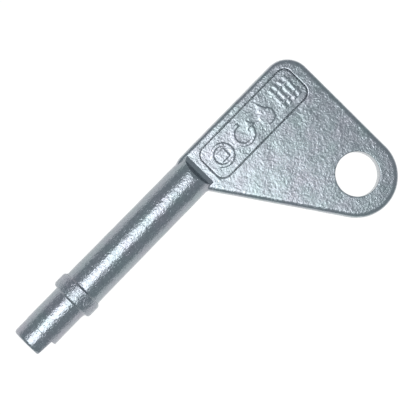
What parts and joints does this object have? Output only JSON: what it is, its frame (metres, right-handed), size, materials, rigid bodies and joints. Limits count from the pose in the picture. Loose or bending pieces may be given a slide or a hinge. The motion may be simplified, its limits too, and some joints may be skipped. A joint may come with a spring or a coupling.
{
  "type": "radiator bleed key",
  "caption": "Cast metal radiator bleed key: triangular flat bow with a hanging hole and a label panel, round shank, collar, and a nose with a square socket.",
  "frame": {"origin": "centre of the square socket's mouth, on the shank's axis", "axes": "+X along the shank from the socket's mouth to the bow; +Z out of the bow's face that carries the label panel; the bow leans towards -Y"},
  "size_m": [0.0898, 0.0421, 0.011],
  "materials": {
    "bow_zinc": "satin",
    "panel_zinc": "satin",
    "shank_zinc": "satin"
  },
  "bodies": {
    "root": {"bow": "bow_zinc", "label_panel": "panel_zinc", "shank": "shank_zinc", "collar": "shank_zinc", "socket_barrel": "shank_zinc"}
  },
  "joints": []
}
